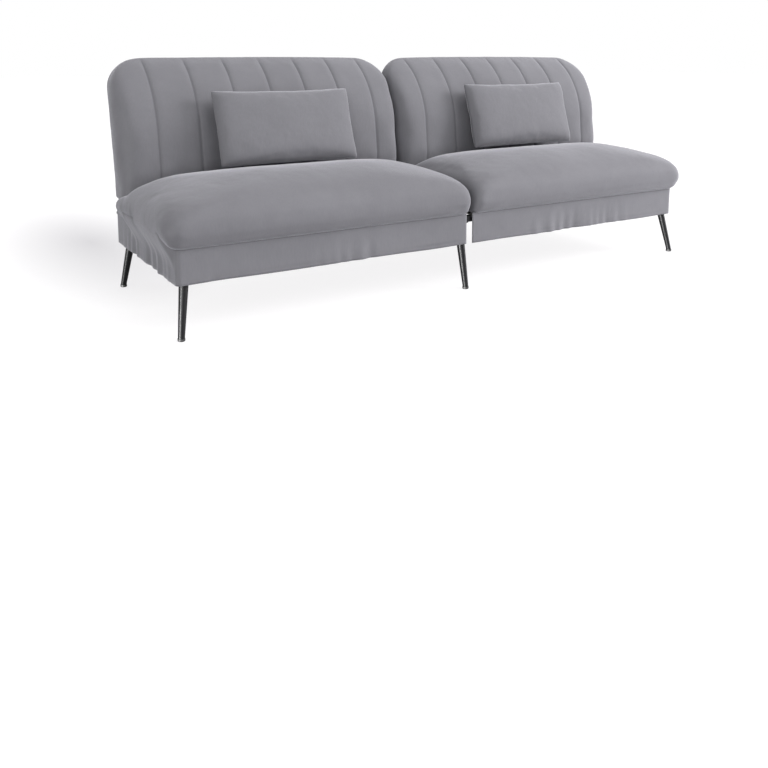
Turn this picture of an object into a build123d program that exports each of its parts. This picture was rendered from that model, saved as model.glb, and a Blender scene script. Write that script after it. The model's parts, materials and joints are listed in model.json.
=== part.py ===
from build123d import *

# A folding sofa bed: two armless seats side by side on one low steel frame with six
# splayed legs. Each seat has its own back, which reclines on a pair of ratchet hinges
# until it lies flat and stands on its own swinging support frame.
# X runs along the sofa, +Y goes to the back and Z is up. The origin is on the floor,
# under the middle of the whole sofa's box.

import os
from math import atan2, cos, degrees, radians, sin, sqrt, tan

# Driving dimensions, all in millimetres and degrees.

SEAT_WIDTH = 1057.0        # one seat cushion, between its widest sides
CUSHION_GAP = 6.0          # between the two seat cushions
CUSHION_OVERHANG = 32.0    # how far a cushion bulges past the skirt at the sofa's ends
CUSHION_TUCK = 12.7        # the same at the middle of the sofa
FRONT_BULGE = 45.0         # how far a cushion bulges past the skirt in front
SEAT_SETBACK = 226.0       # from the rear of the skirt forward to the rear of the cushion
SEAT_CROWN_Z = 450.0

SKIRT_DEPTH = 660.0        # front to back, outside
SKIRT_TOP_Z = 258.0
SKIRT_HEM_Z = 157.5
SKIRT_BAND = 30.0          # the flat upper part of the skirt, before its folds start
CLOTH = 3.0                # skirt cloth with its lining
INNER_END_SHARE = 0.66     # how much of the depth the skirt's end beside the gap covers
FOLD_DEPTH_SHARE = 0.075   # depth of a hem fold as a share of its width

RAIL_WIDTH = 25.0
RAIL_HEIGHT = 20.0
RAIL_WALL = 1.5
DECK = 6.0                 # plywood deck on the rails

FOOT_SIDE_STEP = 5.0       # how far an outer foot stands past the skirt's end
FOOT_FRONT_STEP = 16.5     # the same in front
FOOT_REAR_INSET = 25.0     # how far a rear foot stands inside the skirt's rear
MIDDLE_FOOT_STEP = 8.2     # from the middle line of the centre rail to the middle feet
SPLAY_SIDE = 9.0           # lean of an outer leg along the sofa
SPLAY_FORE = 12.5          # lean of each leg to the front or the back
LEG_TOP_R = 16.0
LEG_FOOT_R = 10.0
LEG_WALL = 1.5
GLIDE = 8.0                # height of the plastic foot
GLIDE_R = 11.0
GLIDE_CHAMFER = 1.5
LEG_PLATE = 50.0           # square top plate
LEG_PLATE_THICK = 4.0
LEG_SCREW_REACH = 21.0     # from the middle of the leg's top to a screw, along the rail

BACK_INSET = 0.5           # each side of the back from the widest line of its seat
BACK_THICK = 145.0
BACK_TOP_Z = 795.0
BACK_LEAN = 6.0
BACK_CORNER_R = 130.0      # upper corners, seen from the front
BACK_EDGE_R = 47.5         # upright edges, seen from above
BACK_TOP_R = 55.0          # top edges, seen from the end
END_CHANNEL = 111.0        # the outer channels, from the last sewn line to the side
SEAM_COUNT = 7             # sewn lines down each back
CHANNEL_CREST = 2.0        # how far a channel swells past the flat face
CHANNEL_DIP = 7.0          # how far a sewn line sinks under it
CHANNEL_FOOT = 150.0       # the channels fade out this far above the hinge
CHANNEL_FADE = 60.0        # height over which they fade

PIVOT_CLEARANCE = 2.5      # between the seat cushion and the back's round lower end
PIVOT_Z = 350.0
HINGE_INSET = 138.0        # each hinge from the side of its back
HINGE_PIN_R = 5.0
PIN_PLAY = 0.05            # running clearance of pins
HUB_R = 18.0               # ratchet hub on the moving arm
CHEEK_R = 14.0
CHEEK_THICK = 4.0
CHEEK_WAIST = 24.0
CHEEK_FOOT = 44.0
ARM_THICK = 6.0
ARM_WIDTH = 22.0
ARM_LENGTH = 235.0
SIDE_PLAY = 0.3            # between faces that turn beside each other

TUBE = 25.0                # square tube of the back's frame
TUBE_WALL = 1.5
BOARD = 6.0                # rear panel of the back
BOARD_INSET = 68.0         # each side of the rear panel from the side of its back
BOARD_FOOT = 100.0         # rear panel, from the hinge to its lower edge
BOARD_TOP_INSET = 72.45    # the rear panel's upper edge from the top of the back
FOAM_PLAY = 0.3            # between foam and hard parts

SUPPORT_INSET = 38.0       # each support leg from the side of the rear panel
SUPPORT_TOP_INSET = 35.0   # the support's pivot from the rear panel's upper edge
SUPPORT_STANDOFF = 23.0    # from the rear panel to the support's pivot
SUPPORT_TUBE = 30.0
SUPPORT_WALL = 2.0
SUPPORT_HEAD = 10.0        # tube above its pivot
SUPPORT_FLOOR_GAP = 1.0    # support foot to floor with the back flat
SUPPORT_BAR_R = 8.0
SUPPORT_BAR_DROP = 120.0
SUPPORT_PIN_R = 4.0
CAP_FLOOR = 6.0
CAP_SLEEVE = 14.0
CAP_WALL = 2.0

PILLOW_WIDTH = 530.0
PILLOW_HEIGHT = 262.0
PILLOW_THICK = 110.0
PILLOW_LEAN = 14.0
PILLOW_PULL = 7.0          # how far its sides pull in between the corners
PILLOW_CORNER_R = 18.0
PILLOW_FORWARD = 116.5     # the pillow's middle, in front of the hinge line
PILLOW_RISE = 108.6        # the pillow's middle, over the seat's crown
PILLOW_SHIFT = {"left": 38.5, "right": 15.5}   # each pillow from the middle of its back

SCREW_R = 2.5
SCREW_HEAD_R = 4.0
SCREW_HEAD = 3.0
SCREW_PLAY = 0.3
OVERRUN = 5.0              # how far every cut runs past what it cuts

# Places that follow from the driving dimensions.

SEAT_OUTER_X = CUSHION_GAP / 2 + SEAT_WIDTH
SKIRT_OUTER_X = SEAT_OUTER_X - CUSHION_OVERHANG
SKIRT_INNER_X = CUSHION_GAP / 2 + CUSHION_TUCK
SKIRT_LENGTH = SKIRT_OUTER_X - SKIRT_INNER_X
BACK_CENTRE_X = CUSHION_GAP / 2 + SEAT_WIDTH / 2
SEAT_FRONT_Y = -SKIRT_DEPTH / 2 - FRONT_BULGE
SEAT_REAR_Y = SKIRT_DEPTH / 2 - SEAT_SETBACK
SEAT_DEPTH = SEAT_REAR_Y - SEAT_FRONT_Y
FRAME_HALF_X = SKIRT_OUTER_X - CLOTH
FRAME_HALF_Y = SKIRT_DEPTH / 2 - CLOTH
FRAME_TOP_Z = SKIRT_TOP_Z - DECK
FRAME_FOOT_Z = FRAME_TOP_Z - RAIL_HEIGHT
LEG_TOP_Z = FRAME_FOOT_Z - LEG_PLATE_THICK
LEG_SCREW_GRIP = LEG_PLATE_THICK + RAIL_HEIGHT / 2
RAIL_Y = FRAME_HALF_Y - RAIL_WIDTH / 2
END_RAIL_X = FRAME_HALF_X - RAIL_WIDTH / 2
CROSS_LENGTH = 2 * (FRAME_HALF_Y - RAIL_WIDTH)
CENTRE_RAIL_X = -(SKIRT_INNER_X + CLOTH + RAIL_WIDTH / 2)
FOOT_X = SKIRT_OUTER_X + FOOT_SIDE_STEP
FRONT_FOOT_Y = -(SKIRT_DEPTH / 2 + FOOT_FRONT_STEP)
REAR_FOOT_Y = SKIRT_DEPTH / 2 - FOOT_REAR_INSET
MIDDLE_FOOT_X = CENTRE_RAIL_X + MIDDLE_FOOT_STEP

BACK_WIDTH = SEAT_WIDTH - 2 * BACK_INSET
CHANNEL_PITCH = (BACK_WIDTH - 2 * END_CHANNEL) / (SEAM_COUNT - 1)
HALF_THICK = BACK_THICK / 2
PIVOT_Y = SEAT_REAR_Y + PIVOT_CLEARANCE + HALF_THICK
HINGE_X = BACK_WIDTH / 2 - HINGE_INSET
BOARD_WIDTH = BACK_WIDTH - 2 * BOARD_INSET
BACK_REACH = (BACK_TOP_Z - PIVOT_Z) / cos(radians(BACK_LEAN))
BOARD_TOP = BACK_REACH - BOARD_TOP_INSET
BOARD_INNER = HALF_THICK - BOARD
TUBE_T = BOARD_INNER - TUBE / 2
UPRIGHT_X = HINGE_X - ARM_THICK / 2 - TUBE / 2
ARM_KNEE = BOARD_FOOT + TUBE
CHEEK_INNER = ARM_THICK / 2 + SIDE_PLAY
CHEEK_OUTER = CHEEK_INNER + CHEEK_THICK

SUPPORT_X = BOARD_WIDTH / 2 - SUPPORT_INSET
SUPPORT_REACH = BOARD_TOP - SUPPORT_TOP_INSET
SUPPORT_OFFSET = HALF_THICK + SUPPORT_STANDOFF
SUPPORT_DROP = PIVOT_Z - SUPPORT_OFFSET - SUPPORT_FLOOR_GAP - CAP_FLOOR
SUPPORT_TUBE_LENGTH = SUPPORT_HEAD + SUPPORT_DROP

SIDES = {"left": -1, "right": 1}


def block(x0, x1, y0, y1, z0, z1):
    """A box between two corners."""
    box = Box(x1 - x0, y1 - y0, z1 - z0)
    return Pos((x0 + x1) / 2, (y0 + y1) / 2, (z0 + z1) / 2) * box


def rod(radius, length):
    """A cylinder along X, about the origin."""
    return Rot(0, 90, 0) * Cylinder(radius, length)


def tube_x(length, width, height, wall):
    """A rectangular tube along X, about the origin."""
    bore = Box(length + OVERRUN, width - 2 * wall, height - 2 * wall)
    return Box(length, width, height) - bore


def tube_y(length, width, height, wall):
    return Rot(0, 0, 90) * tube_x(length, width, height, wall)


def tube_z(length, width, wall):
    return Rot(0, 90, 0) * tube_x(length, width, width, wall)


def screw(grip):
    """A pan-head screw along Z: its head stands on z = 0 and its shank goes down."""
    head = Pos(0, 0, SCREW_HEAD / 2) * Cylinder(SCREW_HEAD_R, SCREW_HEAD)
    return head + Pos(0, 0, -grip / 2) * Cylinder(SCREW_R, grip)


def screw_hole(depth):
    """The clearance hole of a screw, from above z = 0 down to a depth."""
    length = depth + OVERRUN
    return Pos(0, 0, OVERRUN - length / 2) * Cylinder(SCREW_R + SCREW_PLAY, length)


def bar_face(start, end, width):
    """A flat bar with round ends between two points."""
    (x0, y0), (x1, y1) = start, end
    length = sqrt((x1 - x0) ** 2 + (y1 - y0) ** 2)
    along = degrees(atan2(y1 - y0, x1 - x0))
    middle = Pos((x0 + x1) / 2, (y0 + y1) / 2) * Rot(0, 0, along)
    face = middle * Rectangle(length, width)
    return face + Pos(x0, y0) * Circle(width / 2) + Pos(x1, y1) * Circle(width / 2)


def upright_plate(face, thickness):
    """Stands a face drawn in Y and Z up as a plate centred on X."""
    standing = Plane(origin=(0, 0, 0), x_dir=(0, 1, 0), z_dir=(1, 0, 0))
    return standing * extrude(face, thickness / 2, both=True)


def group(solids):
    return Compound([piece for shape in solids for piece in shape.solids()])


# The frame under the seats: one rectangle of steel tube with cross rails, which ties
# both seats together. The legs are screwed under it.

def hinge_places():
    """The middle of each hinge along the sofa."""
    return {side: [sign * BACK_CENTRE_X - HINGE_X, sign * BACK_CENTRE_X + HINGE_X]
            for side, sign in SIDES.items()}


def leg_sites():
    """Foot x, foot y, lean along the sofa, lean in depth and the carrying rail's axis."""
    side = tan(radians(SPLAY_SIDE))
    depth = tan(radians(SPLAY_FORE))
    return {
        "front_left_leg": (-FOOT_X, FRONT_FOOT_Y, side, depth, "X"),
        "front_middle_leg": (MIDDLE_FOOT_X, FRONT_FOOT_Y, 0, depth, "X"),
        "front_right_leg": (FOOT_X, FRONT_FOOT_Y, -side, depth, "X"),
        "rear_left_leg": (-FOOT_X, REAR_FOOT_Y, side, -depth, "Y"),
        "rear_middle_leg": (MIDDLE_FOOT_X, REAR_FOOT_Y, 0, -depth, "Y"),
        "rear_right_leg": (FOOT_X, REAR_FOOT_Y, -side, -depth, "Y"),
    }


def leg_top(site):
    x, y, side, depth, _ = site
    return x + side * LEG_TOP_Z, y + depth * LEG_TOP_Z


def leg_screw_places():
    """Two screws for each leg, under the middle line of the rail that carries it."""
    places = []
    for site in leg_sites().values():
        top_x, top_y = leg_top(site)
        if site[4] == "X":
            places += [(top_x + s * LEG_SCREW_REACH, -RAIL_Y) for s in (-1, 1)]
            continue
        outer_x = END_RAIL_X if top_x > 0 else -END_RAIL_X
        rail_x = CENTRE_RAIL_X if site[2] == 0 else outer_x
        places += [(rail_x, top_y + s * LEG_SCREW_REACH) for s in (-1, 1)]
    return places


def hinge_screw_places(side):
    """Two screws for each hinge bracket, in front of and behind its cheeks."""
    reach = CHEEK_FOOT / 2 + SCREW_HEAD_R + SCREW_PLAY
    return [(x, PIVOT_Y + s * reach) for x in hinge_places()[side] for s in (-1, 1)]


def drill(shape, places, top_z, depth):
    """Screw holes down into a shape from its upper face."""
    for x, y in places:
        shape = shape - Pos(x, y, top_z) * screw_hole(depth)
    return shape


def drill_up(shape, places, foot_z, depth):
    """Screw holes up into a shape from its lower face."""
    for x, y in places:
        shape = shape - Pos(x, y, foot_z) * Rot(180, 0, 0) * screw_hole(depth)
    return shape


def frame_rails():
    mid_z = FRAME_FOOT_Z + RAIL_HEIGHT / 2
    section = (RAIL_WIDTH, RAIL_HEIGHT, RAIL_WALL)
    long_rail = tube_x(2 * FRAME_HALF_X, *section)
    short_rail = tube_y(CROSS_LENGTH, *section)
    hinge_xs = [x for xs in hinge_places().values() for x in xs]
    nodes = {
        "front_rail": [Pos(0, -RAIL_Y, mid_z) * long_rail],
        "rear_rail": [Pos(0, RAIL_Y, mid_z) * long_rail],
        "end_rails": [Pos(s * END_RAIL_X, 0, mid_z) * short_rail for s in (-1, 1)],
        "cross_rails": [Pos(x, 0, mid_z) * short_rail for x in hinge_xs + [CENTRE_RAIL_X]],
    }
    hinge_screws = hinge_screw_places("left") + hinge_screw_places("right")
    for name, rails in nodes.items():
        for i, rail in enumerate(rails):
            rail = drill_up(rail, leg_screw_places(), LEG_TOP_Z, LEG_SCREW_GRIP)
            rails[i] = drill(rail, hinge_screws, SKIRT_TOP_Z, DECK + RAIL_HEIGHT / 2)
    return nodes


def leg(site):
    """A tapered steel tube that leans from its foot to its top plate."""
    x, y, side, depth, _ = site

    def ring(z, radius):
        return Pos(x + side * z, y + depth * z, z) * Circle(radius)

    outer = loft([ring(GLIDE, LEG_FOOT_R), ring(LEG_TOP_Z, LEG_TOP_R)])
    bore = loft([ring(GLIDE, LEG_FOOT_R - LEG_WALL), ring(LEG_TOP_Z, LEG_TOP_R - LEG_WALL)])
    return outer - bore


def foot_glide(site):
    x, y, side, depth, _ = site
    pad = Pos(0, 0, GLIDE / 2) * Cylinder(GLIDE_R, GLIDE)
    pad = chamfer(pad.edges().group_by(Axis.Z)[0], GLIDE_CHAMFER)
    return Pos(x + side * GLIDE, y + depth * GLIDE, 0) * pad


def legs():
    sites = leg_sites()
    nodes = {name: [leg(site)] for name, site in sites.items()}
    plate = Box(LEG_PLATE, LEG_PLATE, LEG_PLATE_THICK)
    plates = []
    for site in sites.values():
        top_x, top_y = leg_top(site)
        placed = Pos(top_x, top_y, LEG_TOP_Z + LEG_PLATE_THICK / 2) * plate
        plates.append(drill_up(placed, leg_screw_places(), LEG_TOP_Z, LEG_SCREW_GRIP))
    nodes["leg_plates"] = plates
    upward = screw(LEG_SCREW_GRIP)
    nodes["leg_screws"] = [Pos(x, y, LEG_TOP_Z) * Rot(180, 0, 0) * upward
                           for x, y in leg_screw_places()]
    nodes["foot_glides"] = [foot_glide(site) for site in sites.values()]
    return nodes


def deck(side):
    """The board that a seat lies on, screwed down with the hinge brackets."""
    x0, x1 = sorted((SIDES[side] * (SKIRT_INNER_X + CLOTH), SIDES[side] * FRAME_HALF_X))
    board = block(x0, x1, -FRAME_HALF_Y, FRAME_HALF_Y, FRAME_TOP_Z, SKIRT_TOP_Z)
    return drill(board, hinge_screw_places(side), SKIRT_TOP_Z, DECK + OVERRUN)


# The skirt: four sewn cloth panels round each deck, flat against the rails at the top
# and falling into a few soft folds at the hem.

FRONT_FOLD_SHARES = {
    "left": (0.05, 0.11, 0.17, 0.34, 0.42, 0.49, 0.57, 0.64, 0.72),
    "right": (0.30, 0.37, 0.44, 0.52, 0.60, 0.66),
}
REAR_FOLD_SHARES = (0.30, 0.38, 0.47, 0.55, 0.62)
END_FOLD_SHARES = (0.26, 0.38, 0.50, 0.62, 0.74)


def hem_edges(length, shares, offset, fold_share):
    """One long edge of a panel, as straight runs and alternating folds."""
    nodes = [0] + [share * length for share in shares] + [length]
    edges = []
    for i, (start, end) in enumerate(zip(nodes, nodes[1:])):
        folded = fold_share > 0 and 0 < i < len(nodes) - 2
        if not folded:
            edges.append(Edge.make_line((start, offset), (end, offset)))
            continue
        swing = fold_share * (end - start) * (1 if i % 2 else -1)
        middle = ((start + end) / 2, offset + swing)
        edges.append(Edge.make_three_point_arc((start, offset), middle, (end, offset)))
    return edges


def panel_face(length, shares, fold_share, z):
    near = hem_edges(length, shares, 0, fold_share)
    far = hem_edges(length, shares, CLOTH, fold_share)
    ends = [Edge.make_line((x, 0), (x, CLOTH)) for x in (0, length)]
    return Pos(0, 0, z) * Face(Wire(near + [ends[1]] + far[::-1] + [ends[0]]))


def skirt_panel(length, shares):
    """A panel along X with its outer face at y = 0 and its inside towards +Y."""
    band_z = SKIRT_TOP_Z - SKIRT_BAND
    folds = loft([panel_face(length, shares, FOLD_DEPTH_SHARE, SKIRT_HEM_Z),
                  panel_face(length, shares, 0, band_z)], ruled=True)
    return folds + block(0, length, 0, CLOTH, band_z, SKIRT_TOP_Z)


def skirt(side):
    sign = SIDES[side]
    left_x = -SKIRT_OUTER_X if sign < 0 else SKIRT_INNER_X
    half = SKIRT_DEPTH / 2
    end_run = half - CLOTH
    inner_run = INNER_END_SHARE * half
    front = skirt_panel(SKIRT_LENGTH, FRONT_FOLD_SHARES[side])
    rear = skirt_panel(SKIRT_LENGTH, REAR_FOLD_SHARES)
    outer = skirt_panel(2 * end_run, END_FOLD_SHARES)
    inner = skirt_panel(2 * inner_run, ())
    return [
        Pos(left_x, -half, 0) * front,
        Pos(left_x + SKIRT_LENGTH, half, 0) * Rot(0, 0, 180) * rear,
        Pos(sign * SKIRT_OUTER_X, -sign * end_run, 0) * Rot(0, 0, sign * 90) * outer,
        Pos(sign * SKIRT_INNER_X, sign * inner_run, 0) * Rot(0, 0, -sign * 90) * inner,
    ]


# The seat cushion: a thick pad with a flat foot on the deck, sides that swell over the
# skirt and a crowned top. Each level gives, as shares: its height between the foot and
# the crown; how far it draws in along X from the widest line; the same at the front;
# the same at the rear; and the radius of its corners.

SEAT_SIDE_DRAW = 0.3122 * SEAT_WIDTH
SEAT_FRONT_DRAW = 0.5115 * SEAT_DEPTH
SEAT_REAR_DRAW = 0.3424 * SEAT_DEPTH
SEAT_CORNER_R = 0.2296 * SEAT_DEPTH
SEAT_LEVEL_SHARES = (
    (0.14, 0.018, 0.050, 0.000, 0.42),
    (0.28, 0.000, 0.000, 0.000, 0.62),
    (0.46, 0.004, 0.016, 0.000, 0.75),
    (0.65, 0.032, 0.110, 0.060, 0.88),
    (0.82, 0.170, 0.290, 0.250, 1.00),
    (0.92, 0.400, 0.520, 0.500, 1.00),
    (0.98, 0.700, 0.780, 0.780, 0.60),
    (1.00, 1.000, 1.000, 1.000, 0.28),
)


def rounded_level(x0, x1, y0, y1, z, radius):
    face = RectangleRounded(x1 - x0, y1 - y0, radius)
    return Pos((x0 + x1) / 2, (y0 + y1) / 2, z) * face


def seat_cushion(side):
    inner, outer = CUSHION_GAP / 2, SEAT_OUTER_X
    height = SEAT_CROWN_Z - SKIRT_TOP_Z
    foot_r = SEAT_CORNER_R * SEAT_LEVEL_SHARES[0][4] / 2
    levels = [rounded_level(SKIRT_INNER_X, SKIRT_OUTER_X, -SKIRT_DEPTH / 2,
                            SEAT_REAR_Y - CLOTH, SKIRT_TOP_Z, foot_r)]
    for up, side_in, front_in, rear_in, corner in SEAT_LEVEL_SHARES:
        levels.append(rounded_level(
            inner + side_in * SEAT_SIDE_DRAW, outer - side_in * SEAT_SIDE_DRAW,
            SEAT_FRONT_Y + front_in * SEAT_FRONT_DRAW,
            SEAT_REAR_Y - rear_in * SEAT_REAR_DRAW,
            SKIRT_TOP_Z + up * height, corner * SEAT_CORNER_R))
    pad = loft(levels, ruled=True)
    return pad if SIDES[side] > 0 else mirror(pad, Plane.YZ)


# The back, in its own frame: X across, Y through its thickness with +Y at the rear,
# Z along it from the hinge. The pad is a loft through side profiles, thin and low at
# the two ends, thick in the middle, with a dip at every sewn line.

CHANNEL_STATION_SHARES = (0.12, 0.32, 0.68, 0.88, 1.0)
END_STATION_SHARES = (0.0, 0.04, 0.12, 0.25, 0.42, 0.68, 0.88)


def rounded_drop(distance, radius):
    """How far a quarter-round edge has fallen at a distance from its end."""
    reach = min(distance, radius)
    return radius - sqrt(radius ** 2 - (radius - reach) ** 2)


def channel_swell(share):
    """The swell of a channel's face, at a share of its width from its sewn line."""
    rise = sqrt(1 - (1 - 2 * share) ** 2)
    return -CHANNEL_DIP + (CHANNEL_DIP + CHANNEL_CREST) * rise


def back_stations():
    """Places across the back with the swell of the front face at each."""
    stations = [(0.0, -CHANNEL_DIP)]
    for i in range(SEAM_COUNT // 2):
        for share in CHANNEL_STATION_SHARES:
            stations.append(((i + share) * CHANNEL_PITCH, channel_swell(share)))
    for share in END_STATION_SHARES[::-1]:
        swell = channel_swell((1 - share) / 2)
        stations.append((BACK_WIDTH / 2 - share * END_CHANNEL, swell))
    mirrored = [(-x, swell) for x, swell in stations[:0:-1]]
    return mirrored + stations


def back_profile(x, swell):
    """The closed side profile of the pad at one place across the back."""
    from_end = BACK_WIDTH / 2 - abs(x)
    half = HALF_THICK - rounded_drop(from_end, BACK_EDGE_R)
    top = BACK_REACH - rounded_drop(from_end, BACK_CORNER_R)
    edge = BACK_TOP_R * half / HALF_THICK
    front = half + swell
    curl = sqrt(0.5)
    nook = edge * (1 - curl)
    start = (-half, 0)
    runs = [
        (None, (-half, CHANNEL_FOOT)),
        (None, (-front, CHANNEL_FOOT + CHANNEL_FADE)),
        (None, (-front, top - edge)),
        ((-front + nook, top - nook), (-front + edge, top)),
        (None, (half - edge, top)),
        ((half - nook, top - nook), (half, top - edge)),
        (None, (half, 0)),
        ((half * curl, -half * curl), (0, -half)),
        ((-half * curl, -half * curl), start),
    ]
    edges = []
    for bend, end in runs:
        if bend:
            edges.append(Edge.make_three_point_arc(start, bend, end))
        else:
            edges.append(Edge.make_line(start, end))
        start = end
    upright = Plane(origin=(x, 0, 0), x_dir=(0, 1, 0), z_dir=(1, 0, 0))
    return upright * Face(Wire(edges))


def back_pad():
    pad = loft([back_profile(x, swell) for x, swell in back_stations()], ruled=True)
    half = BOARD_WIDTH / 2 + FOAM_PLAY
    pocket_y = BOARD_INNER - TUBE - FOAM_PLAY
    rear = HALF_THICK + OVERRUN
    pad -= block(-half, half, pocket_y, rear, BOARD_FOOT - FOAM_PLAY, BOARD_TOP + FOAM_PLAY)
    slot_half = CHEEK_OUTER + SCREW_HEAD + SCREW_HEAD_R
    slot_y = -(HUB_R + SCREW_HEAD)
    for x in (-HINGE_X, HINGE_X):
        pad -= block(x - slot_half, x + slot_half, slot_y, rear,
                     -HALF_THICK - OVERRUN, ARM_KNEE + ARM_WIDTH)
    return pad


def board_screw_places():
    """Four screws that hold the rear panel on the frame's cross bars."""
    return [(sx * BOARD_WIDTH / 3, z) for sx in (-1, 1) for z in crossbar_heights()]


def crossbar_heights():
    return (BOARD_FOOT + TUBE, BOARD_TOP - TUBE)


def support_screw_places():
    reach = SUPPORT_TUBE / 2 + SUPPORT_WALL + SCREW_HEAD_R + 2 * SCREW_PLAY + TUBE_WALL
    return [(sx * SUPPORT_X + s * reach, SUPPORT_REACH) for sx in (-1, 1) for s in (-1, 1)]


def drill_rear(shape, places, face_y, depth):
    for x, z in places:
        shape = shape - Pos(x, face_y, z) * Rot(-90, 0, 0) * screw_hole(depth)
    return shape


def rear_screws(places, face_y, grip):
    return [Pos(x, face_y, z) * Rot(-90, 0, 0) * screw(grip) for x, z in places]


def back_frame():
    """Two uprights and two cross bars of square tube, in the pad's rear pocket."""
    upright = tube_z(BOARD_TOP - BOARD_FOOT - 2 * FOAM_PLAY, TUBE, TUBE_WALL)
    mid_z = (BOARD_FOOT + BOARD_TOP) / 2
    bar = tube_x(2 * UPRIGHT_X - TUBE, TUBE, TUBE, TUBE_WALL)
    uprights = []
    for sign in (-1, 1):
        tube = Pos(sign * UPRIGHT_X, TUBE_T, mid_z) * upright
        for z in arm_bolt_heights():
            face_x = sign * (HINGE_X + ARM_THICK / 2)
            hole = Rot(0, sign * 90, 0) * screw_hole(ARM_THICK + 2 * TUBE_WALL)
            tube -= Pos(face_x, TUBE_T, z) * hole
        uprights.append(tube)
    bars = [drill_rear(Pos(0, TUBE_T, z) * bar, board_screw_places(), HALF_THICK,
                       BOARD + TUBE / 2) for z in crossbar_heights()]
    return uprights, bars


def arm_bolt_heights():
    return (ARM_LENGTH - 2 * ARM_WIDTH, ARM_LENGTH)


TOOTH = 4.0
TOOTH_ANGLES = (-165, -145, -125, -105, -85, -65, -45)


def hinge_arm(sign):
    """A flat steel arm with a toothed hub at its foot."""
    knee = (TUBE_T, ARM_KNEE)
    face = Circle(HUB_R) + bar_face((0, 0), knee, ARM_WIDTH)
    face += bar_face(knee, (TUBE_T, ARM_LENGTH), ARM_WIDTH)
    for angle in TOOTH_ANGLES:
        notch = Rectangle(TOOTH, TOOTH)
        face -= Rot(0, 0, angle) * Pos(HUB_R, 0) * Rot(0, 0, 45) * notch
    face -= Circle(HINGE_PIN_R + PIN_PLAY)
    plate = Pos(sign * HINGE_X, 0, 0) * upright_plate(face, ARM_THICK)
    for z in arm_bolt_heights():
        face_x = sign * (HINGE_X + ARM_THICK / 2)
        hole = Rot(0, sign * 90, 0) * screw_hole(ARM_THICK + TUBE_WALL)
        plate -= Pos(face_x, TUBE_T, z) * hole
    return plate


def arm_bolts():
    bolt = screw(ARM_THICK + 2 * TUBE_WALL)
    return [Pos(sign * (HINGE_X + ARM_THICK / 2), TUBE_T, z) * Rot(0, sign * 90, 0) * bolt
            for sign in (-1, 1) for z in arm_bolt_heights()]


def support_bracket(sign):
    """A bent steel bracket on the rear panel, with two ears for the support's pin."""
    ear_in = SUPPORT_TUBE / 2 + SIDE_PLAY
    ear_out = ear_in + SUPPORT_WALL
    foot_half = ear_out + 2 * SCREW_HEAD_R + 4 * SCREW_PLAY + SUPPORT_WALL
    ear_half = SUPPORT_TUBE / 2
    rear = SUPPORT_OFFSET + SUPPORT_PIN_R + CAP_FLOOR
    low, high = SUPPORT_REACH - ear_half, SUPPORT_REACH + ear_half
    bracket = block(-foot_half, foot_half, HALF_THICK, HALF_THICK + SUPPORT_WALL, low, high)
    for side in (-1, 1):
        x0, x1 = sorted((side * ear_in, side * ear_out))
        bracket += block(x0, x1, HALF_THICK, rear, low, high)
    pin_hole = rod(SUPPORT_PIN_R + PIN_PLAY, 2 * ear_out + OVERRUN)
    bracket -= Pos(0, SUPPORT_OFFSET, SUPPORT_REACH) * pin_hole
    bracket = Pos(sign * SUPPORT_X, 0, 0) * bracket
    return drill_rear(bracket, support_screw_places(), HALF_THICK + SUPPORT_WALL, BOARD)


def headed_pin(radius, grip):
    """A riveted pin along X with a head at each end of its grip."""
    pin = rod(radius, grip)
    for side in (-1, 1):
        pin += Pos(side * (grip + SCREW_HEAD) / 2, 0, 0) * rod(radius + CAP_WALL, SCREW_HEAD)
    return pin


def rear_board():
    half = BOARD_WIDTH / 2
    board = block(-half, half, BOARD_INNER, HALF_THICK, BOARD_FOOT, BOARD_TOP)
    board = drill_rear(board, board_screw_places(), HALF_THICK, BOARD + OVERRUN)
    return drill_rear(board, support_screw_places(), HALF_THICK, BOARD + OVERRUN)


def back_nodes(side):
    """Every piece that reclines with one back, stood up in its place."""
    place = Pos(SIDES[side] * BACK_CENTRE_X, PIVOT_Y, PIVOT_Z) * Rot(-BACK_LEAN, 0, 0)
    uprights, bars = back_frame()
    support_grip = SUPPORT_TUBE + 2 * (SIDE_PLAY + SUPPORT_WALL)
    support_pin = headed_pin(SUPPORT_PIN_R, support_grip)
    board_grip = BOARD + TUBE / 2
    pieces = {
        "back_cushion": [back_pad()],
        "back_uprights": uprights,
        "back_crossbars": bars,
        "back_panel": [rear_board()],
        "panel_screws": rear_screws(board_screw_places(), HALF_THICK, board_grip),
        "hinge_arms": [hinge_arm(sign) for sign in (-1, 1)],
        "arm_bolts": arm_bolts(),
        "support_brackets": [support_bracket(sign) for sign in (-1, 1)],
        "bracket_screws": rear_screws(support_screw_places(),
                                      HALF_THICK + SUPPORT_WALL, BOARD + SUPPORT_WALL),
        "support_pins": [Pos(sign * SUPPORT_X, SUPPORT_OFFSET, SUPPORT_REACH) * support_pin
                         for sign in (-1, 1)],
    }
    return {f"{side}_{name}": [place * piece for piece in solids]
            for name, solids in pieces.items()}


# The fixed half of each hinge: a bracket screwed through the deck into a cross rail,
# with two cheeks that hold the arm's hub, its pin and the pawl.

PAWL_PIN_R = 2.5
PAWL_WIDTH = 9.0
PAWL_TIP_GAP = 0.6
PAWL_PIN_UP = 24.0
PAWL_SET = 3.0
BASE_WIDTH = 26.0
BASE_THICK = 4.0


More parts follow.
